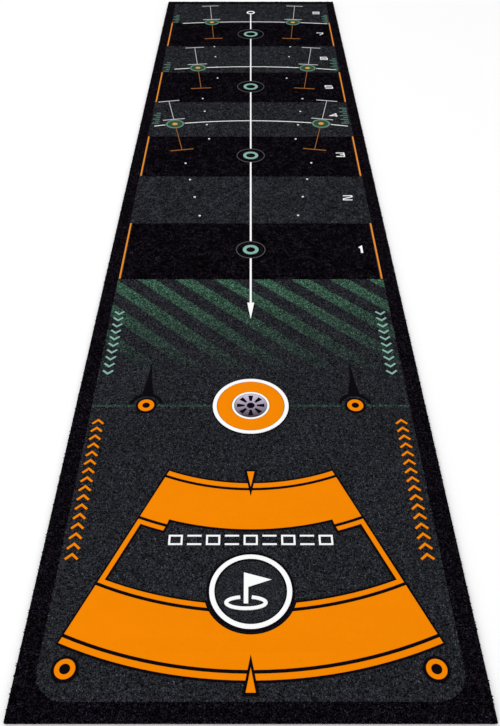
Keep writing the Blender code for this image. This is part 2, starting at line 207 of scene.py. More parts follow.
def ring(centre, outer, wall):
    return [circle(centre, outer), circle(centre, outer - 2 * wall)]


def turned(outline, angle, place):
    """The outline turned by an angle about the origin and then moved to a place."""
    c, s = cos(angle), sin(angle)
    return [(place[0] + c * x - s * y, place[1] + s * x + c * y) for x, y in outline]


def bar(x0, x1, y0, y1):
    return [(x0, y0), (x1, y0), (x1, y1), (x0, y1)]


def area_of(outline):
    pairs = zip(outline, outline[1:] + outline[:1])
    return sum(ax * by - bx * ay for (ax, ay), (bx, by) in pairs) / 2


def grown(outline, by, longest=MITRE_LIMIT):
    """A closed outline moved outwards, its corners mitred up to so many times the distance."""
    points = outline if area_of(outline) > 0 else outline[::-1]
    moved = []
    for before, here, after in zip(points[-1:] + points[:-1], points, points[1:] + points[:1]):
        normals = []
        for (ax, ay), (bx, by_) in ((before, here), (here, after)):
            length = hypot(bx - ax, by_ - ay)
            normals.append(Vector(((by_ - ay) / length, (ax - bx) / length)))
        bisector = (normals[0] + normals[1]).normalized()
        reach = min(longest, 1 / max(bisector.dot(normals[0]), 0.01))
        moved.append((here[0] + bisector.x * by * reach, here[1] + bisector.y * by * reach))
    return moved


def stroke(points, width, closed=False):
    """The outlines of a line of one width through points, with mitred corners and square ends."""
    points = [Vector(p) for p in points]
    if closed:
        outline = [(p.x, p.y) for p in points]
        return [grown(outline, width / 2), grown(outline, -width / 2)]
    sides = ([], [])
    for k, here in enumerate(points):
        ways = []
        if k > 0:
            ways.append((here - points[k - 1]).normalized())
        if k < len(points) - 1:
            ways.append((points[k + 1] - here).normalized())
        way = sum(ways, Vector((0, 0))).normalized()
        across = Vector((-way.y, way.x)) * (width / 2 / way.dot(ways[0]))
        sides[0].append(tuple(here + across))
        sides[1].append(tuple(here - across))
    return [sides[0] + sides[1][::-1]]


def top_outlines(node, top=None):
    """The outlines of a CAD node's faces at its top, or at another level, holes among them."""
    shape = bmesh.new()
    shape.from_mesh(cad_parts[node].data)
    bmesh.ops.remove_doubles(shape, verts=shape.verts, dist=SAME_PLACE)
    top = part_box(node)[1].z if top is None else top
    flat = (f for f in shape.faces if all(abs(v.co.z - top) < SAME_LEVEL for v in f.verts))
    level = dict.fromkeys(flat)  # keeps the faces' own order, which a set would not
    onward = {}
    for face in level:
        for loop in face.loops:
            if not any(other in level for other in loop.edge.link_faces if other != face):
                onward[loop.vert] = loop.link_loop_next.vert
    outlines = []
    while onward:
        start = vert = next(iter(onward))
        outline = []
        while vert in onward:
            outline.append((vert.co.x, vert.co.y))
            vert = onward.pop(vert)
        outlines.append(outline)
    shape.free()
    outlines.sort(key=lambda outline: -abs(area_of(outline)))
    return outlines


# Node trees


class Graph:
    """A node tree, written one node at a time."""

    def __init__(self, tree):
        self.tree = tree

    def set(self, socket, value):
        if isinstance(value, bpy.types.NodeSocket):
            self.tree.links.new(value, socket)
        else:
            socket.default_value = value

    def add(self, kind, inputs=None, **settings):
        node = self.tree.nodes.new(kind)
        for name, value in settings.items():
            setattr(node, name, value)
        for key, value in (inputs or {}).items():
            self.set(node.inputs[key], value)
        return node

    def math(self, operation, a, b=0.0, c=0.0):
        return self.add("ShaderNodeMath", {0: a, 1: b, 2: c}, operation=operation).outputs[0]


NOISE_RANGE = (0.3, 0.7)  # where nearly all noise lies
SOCKET_KINDS = {
    "Geometry": "NodeSocketGeometry",
    "Material": "NodeSocketMaterial",
    "Object": "NodeSocketObject",
    "Vector": "NodeSocketVector",
    "Float": "NodeSocketFloat",
    "Int": "NodeSocketInt",
}


class Grower(Graph):
    """A Geometry Nodes tree with named inputs. It ends by giving what it made its material."""

    def __init__(self, name, inputs):
        super().__init__(bpy.data.node_groups.new(name, "GeometryNodeTree"))
        make_socket = self.tree.interface.new_socket
        make_socket("Geometry", in_out="OUTPUT", socket_type=SOCKET_KINDS["Geometry"])
        for socket, kind in inputs.items():
            make_socket(socket, in_out="INPUT", socket_type=SOCKET_KINDS[kind])
        make_socket("Material", in_out="INPUT", socket_type=SOCKET_KINDS["Material"])
        self.given = self.add("NodeGroupInput").outputs

    def vector(self, **values):
        return self.add("ShaderNodeCombineXYZ", values).outputs[0]

    def stored(self, geometry, name, value):
        """The geometry with a number of that name at each point."""
        return self.add(
            "GeometryNodeStoreNamedAttribute",
            {"Geometry": geometry, "Name": name, "Value": value},
            data_type="FLOAT",
            domain="POINT",
        ).outputs["Geometry"]

    def copies(self, points, shape, **placing):
        """A real copy of a shape at each point."""
        inputs = {"Points": points, "Instance": shape, **placing}
        spread = self.add("GeometryNodeInstanceOnPoints", inputs).outputs["Instances"]
        return self.add("GeometryNodeRealizeInstances", {"Geometry": spread}).outputs["Geometry"]

    def both(self, first, second):
        joint = self.add("GeometryNodeJoinGeometry")
        self.set(joint.inputs[0], first)
        self.set(joint.inputs[0], second)
        return joint.outputs["Geometry"]

    def grown_tree(self, geometry):
        inputs = {"Geometry": geometry, "Material": self.given["Material"]}
        coloured = self.add("GeometryNodeSetMaterial", inputs).outputs["Geometry"]
        self.set(self.add("NodeGroupOutput").inputs["Geometry"], coloured)
        return self.tree


class Surface(Graph):
    """A material and its nodes. Patterns read Object coordinates, in metres."""

    def __init__(self, name):
        self.material = bpy.data.materials.new(name)
        self.material.use_nodes = True
        super().__init__(self.material.node_tree)
        self.shader = self.tree.nodes["Principled BSDF"]
        self.place = self.add("ShaderNodeTexCoord").outputs["Object"]

    def between(self, value, low, high, to_low=0.0, to_high=1.0):
        """The value's place between two limits, held inside them."""
        ends = {1: low, 2: high, 3: to_low, 4: to_high}
        return self.add("ShaderNodeMapRange", {0: value, **ends}).outputs[0]

    def noise(self, size, detail=1.0):
        """Noise whose features are about so many metres across."""
        inputs = {"Vector": self.place, "Scale": 1 / size, "Detail": detail, "Roughness": 0.6}
        return self.add("ShaderNodeTexNoise", inputs).outputs["Fac"]

    def uneven(self, noise, least, most):
        """A value that follows noise from one limit to the other."""
        return self.between(noise, *NOISE_RANGE, least, most)

    def mix(self, share, a, b):
        inputs = {0: share, 6: a, 7: b}
        return self.add("ShaderNodeMix", inputs, data_type="RGBA").outputs[2]

    def scaled(self, colour, factor):
        if not isinstance(colour, bpy.types.NodeSocket):
            colour = colour[:3]  # a vector socket takes no alpha
        inputs = {0: colour, "Scale": factor}
        return self.add("ShaderNodeVectorMath", inputs, operation="SCALE").outputs[0]

    def bump(self, height, depth, strength=1.0):
        inputs = {"Height": height, "Distance": depth, "Strength": strength}
        self.set(self.shader.inputs["Normal"], self.add("ShaderNodeBump", inputs).outputs[0])

    def finish(self, **values):
        for name, value in values.items():
            self.set(self.shader.inputs[name.replace("_", " ")], value)
        return self.material


def linear(seen):
    """The linear colour of one given as it is seen, 0 to 255."""
    shares = [value / 255 for value in seen]
    return tuple(s / 12.92 if s <= 0.04045 else ((s + 0.055) / 1.055) ** 2.4 for s in shares) + (1.0,)


# Materials

HATCH_PITCH = 0.066
HATCH_SLOPE = 1.02
HATCH_START_X = 0.018  # where one stripe's middle meets the hatch's far edge
HATCH_FADE = 0.232  # from full at the lane to nothing
HATCH_EDGE = (-0.08, 0.20)  # the wave's height where a stripe starts and where it is full
HOLE_LINE_WIDTH = 0.0030
HOLE_LINE_STRENGTH = 0.5
RUBBER_RIBS = 160.0
THREAD_TURN = 2 * pi / 0.0016
BRUSH_TURN = 2 * pi / 0.0006
PLATE_SHADING_REACH = 0.020
NOISE_SPREAD = 0.13  # how far noise strays from its middle, as a standard deviation
# The size and strength of each scale of grain
FIELD_GRAIN = ((0.0016, 0.62), (0.0032, 0.26), (0.0060, 0.12), (0.0900, 0.03))
LANE_GRAIN = ((0.0016, 0.58), (0.0034, 0.24), (0.0065, 0.22), (0.0110, 0.22), (0.0900, 0.03))
LEAST_SHADE = 0.1
TUFT_SHADES = (0.15, 1.60)  # the least, and the spread above it
# Painted shade: the ground between the tufts is darker than the tufts, as the depths of the pile are in
# shade
PAINTED_GROUND_SHADE = 0.35  # in the tufts' own range
PILE_SHADOW = 0.62  # the share of the light that reaches the eye from between tufts


def pile_shade(surface, grain, depth):
    """A factor about 1 that differs from tuft to tuft, and less over clumps and patches; the ground between
    the tufts takes a lower value, a painted shade for the depths of the pile.
    """
    tuft = surface.add("ShaderNodeAttribute", attribute_name="tuft_shade").outputs["Fac"]
    least, spread = TUFT_SHADES
    shade = surface.math("MULTIPLY_ADD", tuft, spread, least)
    for size, strength in grain:
        slope = strength * depth / NOISE_SPREAD
        wave = surface.math("MULTIPLY_ADD", surface.noise(size), slope, 1 - slope / 2)
        shade = surface.math("MULTIPLY", shade, surface.math("MAXIMUM", wave, LEAST_SHADE))
    return surface.math("MULTIPLY", shade, 1 / PILE_SHADOW)


def pile(name, seen, grain, depth=1.0, hatched=False):
    """Cut pile of one colour. The target field's also carries the green hatch and the hole line."""
    surface = Surface(name)
    colour = linear(seen)
    if hatched:
        colour = hatch(surface, colour)
    colour = surface.scaled(colour, pile_shade(surface, grain, depth))
    rough = surface.uneven(surface.noise(TUFT_SPACING), 0.86, 1.0)
    surface.bump(surface.noise(0.0009, 2.0), 0.0006, 0.7)
    return surface.finish(Base_Color=colour, Roughness=rough, Specular_IOR_Level=0.0)


def hatch(surface, ground):
    """Slanting green stripes, strongest where the lane starts, and the faint line across the hole."""
    lane_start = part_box("lane_band_1")[0].y
    apart = surface.add("ShaderNodeSeparateXYZ", {0: surface.place})
    short = surface.math("SUBTRACT", lane_start, apart.outputs["Y"])
    across = surface.math("SUBTRACT", apart.outputs["X"], HATCH_START_X)
    run = surface.math("MULTIPLY_ADD", short, -HATCH_SLOPE, across)
    turn = surface.math("MULTIPLY", run, 2 * pi / HATCH_PITCH)
    stripe = surface.between(surface.math("COSINE", turn), *HATCH_EDGE)
    fade = surface.between(short, HATCH_FADE, 0.0)
    green = surface.math("MULTIPLY", stripe, fade)
    from_hole = surface.math("ABSOLUTE", surface.math("SUBTRACT", apart.outputs["Y"], HOLE.y))
    ends = (HOLE_LINE_WIDTH, HOLE_LINE_WIDTH / 4)
    line = surface.between(from_hole, *ends, 0.0, HOLE_LINE_STRENGTH)
    share = surface.math("MAXIMUM", green, line)
    return surface.mix(share, ground, linear(HATCH_GREEN))


def flock(name, seen, variation=0.05):
    """Shorn flock: an even colour, with a fine nap."""
    surface = Surface(name)
    nap = surface.noise(0.0013, 2.0)
    cloud = surface.noise(0.012, 2.0)
    shade = surface.math("MULTIPLY_ADD", nap, variation * 2, 1 - variation)
    patches = surface.math("MULTIPLY_ADD", cloud, variation, 1 - variation / 2)
    shade = surface.math("MULTIPLY", shade, patches)
    rough = surface.uneven(nap, 0.80, 0.95)
    surface.bump(surface.noise(0.0007, 2.0), 0.0002, 0.5)
    colour = surface.scaled(linear(seen), shade)
    return surface.finish(Base_Color=colour, Roughness=rough, Specular_IOR_Level=0.01)


def rubber():
    """Dusty moulded rubber with crossing ribs."""
    surface = Surface("grip_rubber")
    waves = []
    for angle in (pi / 4, -pi / 4):
        mapping = surface.add("ShaderNodeMapping", {"Vector": surface.place, "Rotation": (0, 0, angle)})
        inputs = {"Vector": mapping.outputs[0], "Scale": RUBBER_RIBS}
        waves.append(surface.add("ShaderNodeTexWave", inputs).outputs["Fac"])
    weave = surface.math("MAXIMUM", *waves)
    height = surface.math("MULTIPLY_ADD", surface.noise(0.0015, 3.0), 0.6, weave)
    surface.bump(height, 0.0003, 0.8)
    dust = surface.between(surface.noise(0.05, 4.0), 0.45, 0.75, 0.0, 0.35)
    colour = surface.mix(dust, linear(RUBBER), linear(RUBBER_DUST))
    rough = surface.uneven(surface.noise(0.006, 3.0), 0.70, 0.88)
    return surface.finish(Base_Color=colour, Roughness=rough, Specular_IOR_Level=0.3)


def woven():
    """Plain weave: threads that pass over and under each other, darkened by painted shade where they lie
    low.
    """
    surface = Surface("primary_weave")
    apart = surface.add("ShaderNodeSeparateXYZ", {0: surface.place})
    warp = surface.math("SINE", surface.math("MULTIPLY", apart.outputs["X"], THREAD_TURN))
    weft = surface.math("SINE", surface.math("MULTIPLY", apart.outputs["Y"], THREAD_TURN))
    over = surface.between(surface.math("MULTIPLY", warp, weft), -1.0, 1.0)
    surface.bump(over, 0.0003)
    # Painted shade: the colour darkens with the bump's height where the threads lie low
    colour = surface.mix(over, linear(CLOTH_PAINTED_SHADE), linear(CLOTH))
    rough = surface.uneven(surface.noise(0.004), 0.85, 0.98)
    return surface.finish(Base_Color=colour, Roughness=rough)


def brushed_plate():
    """Satin metal, brushed round the centre of the hole, in its own lavender grey with painted shade across
    it: darker on the near side and lighter on the far side, as in a dished cup.
    """
    surface = Surface("brushed_plate")
    centred = surface.add("ShaderNodeMapping", {"Vector": surface.place, "Location": tuple(-HOLE)})
    apart = surface.add("ShaderNodeSeparateXYZ", {0: centred.outputs[0]})
    length = surface.add("ShaderNodeVectorMath", {0: centred.outputs[0]}, operation="LENGTH")
    circles = surface.math("SINE", surface.math("MULTIPLY", length.outputs["Value"], BRUSH_TURN))
    surface.bump(circles, 0.00004, 0.4)
    # Painted shade and light: the plate darkens towards the near side and lightens towards the far side
    shade = surface.between(apart.outputs["Y"], -PLATE_SHADING_REACH, PLATE_SHADING_REACH)
    colour = surface.mix(shade, linear(PLATE_PAINTED_SHADE), linear(PLATE_PAINTED_LIGHT))
    rough = surface.uneven(surface.noise(0.002), 0.38, 0.55)
    return surface.finish(Base_Color=colour, Roughness=rough, Metallic=0.35)


MATERIALS = {
    "border_pile": pile("border_cut_pile", BLACK, FIELD_GRAIN, 1.9),
    "field_pile": pile("field_cut_pile", FIELD_GREY, FIELD_GRAIN, hatched=True),
    "black_pile": pile("black_cut_pile", BLACK, LANE_GRAIN, 1.7),
    "grey_pile": pile("grey_cut_pile", GREY, LANE_GRAIN),
    "orange": flock("orange_flock_face", ORANGE),
    "amber": flock("amber_flock_face", AMBER),
    "dull_orange": flock("dull_orange_flock_face", DULL_ORANGE, 0.15),
    "white": flock("white_flock_face", WHITE, 0.03),
    "pale": flock("pale_flock_face", PALE, 0.08),
    "gold": flock("gold_flock_face", GOLD, 0.10),
    "mint": flock("mint_flock_face", MINT),
    "sea_green": flock("sea_green_flock_face", SEA_GREEN, 0.10),
    "pale_grey": flock("pale_grey_flock_face", PALE_GREY, 0.15),
    "deep_green": flock("deep_green_flock_face", DEEP_GREEN, 0.15),
    "black": flock("black_flock_face", BLACK, 0.35),
    "rubber": rubber(),
    "weave": woven(),
    "plate": brushed_plate(),
}


# Pieces


def place_piece(name, mesh, nodes=()):
    """A finished piece of the mat, which may stand for CAD nodes."""
    piece = bpy.data.objects.new(name, mesh)
    mesh.name = name
    bpy.context.scene.collection.objects.link(piece)
    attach(piece, BODY)
    if nodes:
        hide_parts(*nodes)
    return piece


def evaluated_mesh(item):
    graph = bpy.context.evaluated_depsgraph_get()
    return bpy.data.meshes.new_from_object(item.evaluated_get(graph), depsgraph=graph)


def sheet_of(outlines, low, high, rounding=0.0, inset=0.0):
    """The mesh of a flat solid between two levels. Its edges may be rounded and moved in."""
    curve = bpy.data.curves.new("outline", "CURVE")
    curve.dimensions = "2D"
    curve.fill_mode = "BOTH"
    curve.extrude = (high - low) / 2 - rounding
    curve.bevel_depth = rounding
    curve.bevel_resolution = 1
    curve.offset = -rounding - inset
    for outline in outlines:
        spline = curve.splines.new("POLY")
        spline.points.add(len(outline) - 1)
        for point, (x, y) in zip(spline.points, outline):
            point.co = (x, y, 0, 1)
        spline.use_cyclic_u = True
    sketch = bpy.data.objects.new("outline", curve)
    bpy.context.scene.collection.objects.link(sketch)
    mesh = evaluated_mesh(sketch)
    bpy.data.objects.remove(sketch)
    bpy.data.curves.remove(curve)
    shape = bmesh.new()
    shape.from_mesh(mesh)
    bmesh.ops.remove_doubles(shape, verts=shape.verts, dist=SAME_PLACE)
    bmesh.ops.translate(shape, verts=shape.verts, vec=(0, 0, (high + low) / 2))
    bmesh.ops.recalc_face_normals(shape, faces=shape.faces)
    shape.to_mesh(mesh)
    shape.free()
    return mesh


def coated(mesh, material):
    """The mesh in its material, shaded smooth but for its sharp edges."""
    mesh.materials.append(MATERIALS[material])
    mesh.shade_smooth()
    mesh.set_sharp_from_angle(angle=CREASE_ANGLE)
    return mesh


printed = []  # the outlines that the tufts keep clear of


def shorn(name, outlines, colour, top=PILE_TOP, nodes=(), keep_clear=True, inset=0.0):
    """A flush mark of shorn flock."""
    mesh = coated(sheet_of(outlines, SHORN_FOOT, top, EDGE_ROUNDING, inset), colour)
    if keep_clear:
        printed.extend(outlines)
    return place_piece(name, mesh, nodes)


def mark(node, colour, inset=NAP_COVER, trim=0.0):
    """A shorn mark with a CAD node's own outlines, less what the pile round it covers.

    A trim moves its outer edge in further."""
    outer, *holes = top_outlines(node)
    outlines = [grown(outer, -trim)] + holes if trim else [outer] + holes
    return shorn(node + "_flock", outlines, colour, nodes=(node,), keep_clear=False, inset=inset)


def rim(name, nodes, width, top=RIM_TOP, hole_width=0.0, longest=MITRE_LIMIT):
    """Black flock under marks, which shows as a line of that width along their edges.

    A mark's hole is black all over, or only along its edge where a hole width is given."""
    outlines = []
    for node in nodes:
        outer, *holes = top_outlines(node)
        outlines.append(grown(outer, width, longest))
        if hole_width:
            outlines += [grown(hole, -hole_width) for hole in holes]
    return shorn(name, outlines, "black", top=top)


# The marks of the target field

PLATE_DROP = 0.0002  # below the pile's top
EMBLEM_NODES = (
    ["emblem_far_band", "emblem_near_band"]
    + [f"{word}_{side}" for word in ("emblem_frame", "far_stripe", "near_stripe") for side, _ in SIDES]
)
POINTERS = ("far_pointer", "near_pointer")
BADGE = "emblem_badge_ring"


def make_emblem():
    for node in EMBLEM_NODES:
        mark(node, "orange", inset=EMBLEM_COVER)
    for node in POINTERS:
        mark(node, "orange", inset=POINTER_COVER)
    mark(BADGE, "white", trim=BADGE_TRIM)
    rim("emblem_rims", EMBLEM_NODES, EMBLEM_RIM)
    rim("pointer_rims", POINTERS, POINTER_RIM, POINTER_RIM_TOP, longest=POINTER_MITRE_LIMIT)
    rim("badge_rim", [BADGE], BADGE_RIM, hole_width=BADGE_HOLE_RIM)


def make_hole_mark():
    mark("hole_rim", "white")
    mark("hole_disc", "orange", inset=0.0)
    mark("hole_collar", "white")
    outlines = top_outlines("hole_plate")
    low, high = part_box("hole_plate")
    mesh = coated(sheet_of(outlines, low.z, high.z - PLATE_DROP, EDGE_ROUNDING), "plate")
    place_piece("slotted_plate", mesh, ("hole_plate",))
    rim("hole_black_bed", ["hole_rim"], HOLE_RIM, top=HOLE_BED_TOP)


EAR_RADIUS = 0.0220
EAR_WIDTH = 0.0045
EAR_SWEEP = radians(78)
SPIKE_FOOT = 0.0245  # from the side target's centre
SPIKE_TIP = 0.0915
SPIKE_HALF_WIDTH = 0.0080
SPIKE_WAIST = (0.42, 0.0031)  # its half width at that share of its length


def make_side_targets():
    """The two orange rings beside the hole, each with a black ear and spike, and the two in the corners."""
    black = []
    for side, _ in SIDES:
        node = f"side_target_{side}"
        mark(node, "orange", trim=SIDE_TARGET_TRIM)
        centre = middle(node)
        ear = arc(centre, EAR_RADIUS, pi / 2 - EAR_SWEEP, pi / 2 + EAR_SWEEP)
        black += stroke(ear, EAR_WIDTH)
        foot, tip = centre.y + SPIKE_FOOT, centre.y + SPIKE_TIP
        share, waist = SPIKE_WAIST
        waist_y = foot + share * (tip - foot)
        black.append([
            (centre.x - SPIKE_HALF_WIDTH, foot),
            (centre.x + SPIKE_HALF_WIDTH, foot),
            (centre.x + waist, waist_y),
            (centre.x, tip),
            (centre.x - waist, waist_y),
        ])
        mark(f"corner_ring_{side}", "orange", trim=CORNER_RING_TRIM)
    shorn("target_spikes", black, "black", top=RIM_TOP)
    targets = [f"side_target_{side}" for side, _ in SIDES]
    corners = [f"corner_ring_{side}" for side, _ in SIDES]
    rim("small_ring_rims", targets + corners, RING_RIM)


# The marks of the lane

LINE_HALF = 0.0030  # what is nearer the middle than this belongs to the line, not to its arrow head
LINE_SHARE = 0.68


def make_centre_line():
    """The white line, with less of it showing than its inlay's width, and the rings along it."""
    for stretch in range(1, LANE_BANDS // 2 + 2):
        node = f"centre_line_{stretch}"
        outlines = [
            [(x * LINE_SHARE if abs(x) < LINE_HALF else x, y) for x, y in outline]
            for outline in top_outlines(node)
        ]
        shorn(node + "_flock", outlines, "white", nodes=(node,), keep_clear=False)
    mark("start_spot_ring", "white")
    zones = []
    for step, band in enumerate(range(1, LANE_BANDS, 2)):
        node = f"distance_ring_{band}"
        mark(node, "mint", trim=DISTANCE_RING_TRIM)
        outer = ZONE_RING_OUTER + ZONE_RING_GROWTH * step
        zones += ring(middle(node), outer, ZONE_RING_WALL)
    shorn("distance_zone_rings", zones, "pale_grey", top=DYED_TOP)


def gate_frame(band, side):
    """A ball mark's centre, and the angle that turns +Y to the way from the hole to it."""
    centre = middle(f"ball_ring_{side}_{band}")
    way = centre - HOLE
    return centre, atan2(way.y, way.x) - pi / 2


def tee(bar_y, foot):
    """A gate's bar across the swing, with a stem from it back to a foot nearer the ball."""
    half, thick, stem = GATE_BAR_LENGTH / 2, GATE_BAR_WIDTH / 2, GATE_STEM_WIDTH / 2
    towards = 1 if foot > bar_y else -1
    inner, outer = bar_y + towards * thick, bar_y - towards * thick
    return [
        (-half, outer), (half, outer), (half, inner), (stem, inner),
        (stem, foot), (-stem, foot), (-stem, inner), (-half, inner),
    ]


def make_ball_marks():
    """On each start arc a ring for the ball each side, with the swing's gate lines before and behind."""
    white, orange, fills, dots, arcs = [], [], [], [], []
    fill_wall = (BALL_FILL - BALL_DOT) / 2 - BALL_FILL_OVERLAP
    half, thick = GATE_BAR_LENGTH / 2, GATE_BAR_WIDTH / 2
    near_bar = bar(-half, half, GATE_NEAR_BAR - thick, GATE_NEAR_BAR + thick)
    for band in BALL_BANDS:
        for side, _ in SIDES:
            mark(f"ball_ring_{side}_{band}", "sea_green", trim=BALL_RING_TRIM)
            centre, angle = gate_frame(band, side)
            fills += ring(centre, BALL_FILL, fill_wall)
            dots.append(circle(centre, BALL_DOT))
            ahead = tee(GATE_FAR_BAR[band], GATE_NEAR_BAR + thick + GATE_GAP)
            white += [turned(outline, angle, centre) for outline in (near_bar, ahead)]
            orange.append(turned(tee(-GATE_BACK_BAR, -GATE_BACK_FOOT), angle, centre))
        arcs += start_arc(band)
    shorn("gate_lines_white", white, "pale", top=DYED_TOP)
    shorn("gate_lines_orange", orange, "dull_orange", top=DYED_TOP)
    shorn("ball_ring_fills", fills, "deep_green", top=BALL_FILL_TOP)
    shorn("ball_dots", dots, "gold")
    shorn("start_arcs", arcs, "white", top=START_ARC_TOP)


def start_arc(band):
    """An arc about the hole through a band's two ball rings, broken at the rings."""
    left, right = (middle(f"ball_ring_{side}_{band}") for side, _ in SIDES)
    radius = (left - HOLE).length
    low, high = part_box(f"ball_ring_left_{band}")
    gap = ((high - low).x / 2 + START_ARC_GAP) / radius
    left_reach, right_reach = START_ARC_REACH[band]
    ends = (pi / 2 + sin_angle(left_reach, radius), pi / 2 - sin_angle(right_reach, radius))
    stops = [atan2(p.y - HOLE.y, p.x - HOLE.x) for p in (left, right)]
    runs = ((ends[0], stops[0] + gap), (stops[0] - gap, stops[1] + gap), (stops[1] - gap, ends[1]))
    outlines = []
    for start, end in runs:
        if start > end:
            outlines += stroke(arc(HOLE, radius, start, end), START_ARC_WIDTH)
    return outlines


def sin_angle(x, radius):
    """The angle off the mat's axis at which an arc of this radius reaches an X."""
    return atan2(x, sqrt(radius**2 - x**2))


def dot_tree():
    """A Geometry Nodes tree: small flat discs along a line of points."""
    inputs = {"Count": "Int", "Start": "Vector", "Step": "Vector", "Radius": "Float", "Thickness": "Float"}
    graph = Grower("aim_dots", inputs)
    given = graph.given
    line = graph.add(
        "GeometryNodeMeshLine",
        {"Count": given["Count"], "Start Location": given["Start"], "Offset": given["Step"]},
    )
    disc = graph.add(
        "GeometryNodeMeshCylinder",
        {"Vertices": AIM_DOT_SIDES, "Radius": given["Radius"], "Depth": given["Thickness"]},
    )
    return graph.grown_tree(graph.copies(line.outputs["Mesh"], disc.outputs["Mesh"]))


def grown_by(tree, values, base=None):
    """The plain mesh that a Geometry Nodes tree makes with these values for its named inputs."""
    mesh = base or bpy.data.meshes.new("seed")
    item = bpy.data.objects.new("seed", mesh)
    bpy.context.scene.collection.objects.link(item)
    modifier = item.modifiers.new(tree.name, "NODES")
    modifier.node_group = tree
    for socket in tree.interface.items_tree:
        if socket.in_out == "INPUT" and socket.name in values:
            modifier[socket.identifier] = values[socket.name]
    item.update_tag()
    made = evaluated_mesh(item)
    bpy.data.objects.remove(item)
    return made


def joined(meshes):
    """One mesh of several that share a material."""
    shape = bmesh.new()
    for mesh in meshes:
        shape.from_mesh(mesh)
    whole = bpy.data.meshes.new("joined")
    shape.to_mesh(whole)
    shape.free()
    whole.materials.append(meshes[0].materials[0])
    return whole


def make_aim_dots():
    """Four white dots on the way from each ball ring to the hole."""
    tree = dot_tree()
    rows = []
    for band in BALL_BANDS:
        for side, _ in SIDES:
            centre, _ = gate_frame(band, side)
            way = (HOLE - centre).normalized()
            start = centre + way * AIM_DOT_START
            start.z = DYED_TOP - AIM_DOT_THICKNESS / 2
            step = way * AIM_DOT_SPACING
            step.z = 0
            values = {
                "Count": AIM_DOT_COUNT,
                "Start": tuple(start),
                "Step": tuple(step),
                "Radius": AIM_DOT / 2,
                "Thickness": AIM_DOT_THICKNESS,
                "Material": MATERIALS["white"],
            }
            rows.append(grown_by(tree, values))
            for k in range(AIM_DOT_COUNT):
                dot = centre + way * (AIM_DOT_START + k * AIM_DOT_SPACING)
                printed.append(circle(dot, AIM_DOT))
    place_piece("aim_dots", joined(rows))


# Numerals, each as lines on a grid of 2 across and 2 up; a line that is closed ends with True
NUMERALS = {
    1: (((1.25, 1.75), (1.7, 2.2), (1.7, -0.3)),),
    2: (((0, 2), (2, 2), (2, 1.45), (0, 0.55), (0, 0), (2, 0)),),
    3: (((0, 2), (2, 2), (2, 0), (0, 0)), ((1.0, 1), (1.85, 1))),
    4: (((2, 0.6), (0, 0.6), (1.6, 2), (1.6, 0)),),
    5: (((2, 2), (0, 2), (0, 1), (2, 1), (2, 0), (0, 0)),),
    6: (((2, 2), (0, 2), (0, 0), (2, 0), (2, 1), (0.28, 1)),),
    7: (((0, 2), (2, 2), (2, 1.3), (1, 0)),),
    8: (((0, 0), (2, 0), (2, 2), (0, 2), True), ((0.28, 1), (1.72, 1))),
}


def make_numerals():
    outlines = []
    for number, distance in enumerate(NUMERAL_DISTANCES, 1):
        width, height = NUMERAL_SIZE
        scale = ((width - NUMERAL_STROKE) / 2, (height - NUMERAL_STROKE) / 2)
        thick = NUMERAL_STROKE_ONE if number == 1 else NUMERAL_STROKE
        for line in NUMERALS[number]:
            closed = line[-1] is True
            points = [
                (NUMERAL_X[number - 1] + (x - 1) * scale[0], along(distance) + (y - 1) * scale[1])
                for x, y in (line[:-1] if closed else line)
            ]
            outlines += stroke(points, thick, closed)
    shorn("distance_numerals", outlines, "white", top=DYED_TOP)


# Generic signs in place of words

CHEVRON_DEPTH = 0.0070
CHEVRON_STROKE = 0.0030
CHEVRON_PITCH = 0.0150
ZONE_COLUMNS = {"left": (-0.2210, -0.2060), "right": (0.2030, 0.2185)}
GOOD_ZONE = (0.186, 0.419)
BAD_ZONE = (0.505, 0.660)
TICK_COLUMNS = {"left": (-0.2240, -0.2080), "right": (0.2060, 0.2235)}
TICK_ZONES = {
    4: {"left": (1.333, 1.383), "right": (1.333, 1.410)},
    6: {"left": (1.625, 1.678), "right": (1.632, 1.705)},
    8: {"left": (1.974, 2.028), "right": (1.962, 2.028)},
}
TICK_PITCH = 0.0100
TICK_WIDTH = 0.0024
SHORT_TICK_START = 0.4  # every other tick starts this share of the way across


def chevrons(column, zone, towards):
    """A column of chevrons that point along the mat, towards the far end (1) or the target end (-1)."""
    left, right = column
    count = round((zone[1] - zone[0]) / CHEVRON_PITCH)
    outlines = []
    for k in range(count):
        y = along(zone[0] + (k + 0.5) * (zone[1] - zone[0]) / count)
        back, tip = y - towards * CHEVRON_DEPTH / 2, y + towards * CHEVRON_DEPTH / 2
        outlines += stroke([(left, back), ((left + right) / 2, tip), (right, back)], CHEVRON_STROKE)
    return outlines


def make_zone_signs():
    """Chevrons up both sides of the target field, and ladders of ticks beside the start arcs."""
    good, bad, ticks = [], [], []
    for side, _ in SIDES:
        good += chevrons(ZONE_COLUMNS[side], GOOD_ZONE, 1)
        bad += chevrons(ZONE_COLUMNS[side], BAD_ZONE, -1)
        for band in BALL_BANDS:
            low, high = TICK_ZONES[band][side]
            count = round((high - low) / TICK_PITCH)
            for k in range(count + 1):
                y = along(low + k * (high - low) / count)
                left, right = TICK_COLUMNS[side]
                short = 0.0 if k % 2 == 0 else (right - left) * SHORT_TICK_START
                ticks.append(bar(left + short, right, y - TICK_WIDTH / 2, y + TICK_WIDTH / 2))
    shorn("good_zone_chevrons", good, "orange", top=DYED_TOP)
    shorn("bad_zone_chevrons", bad, "mint", top=DYED_TOP)
    shorn("distance_ticks", ticks, "sea_green", top=DYED_TOP)


PANEL_DISTANCE = (0.2097, 0.2242)
PANEL_HALF = 0.100
PANEL_CELLS = 9
PANEL_CELL_GAP = 0.0055
SIGN_STROKE = 0.0024


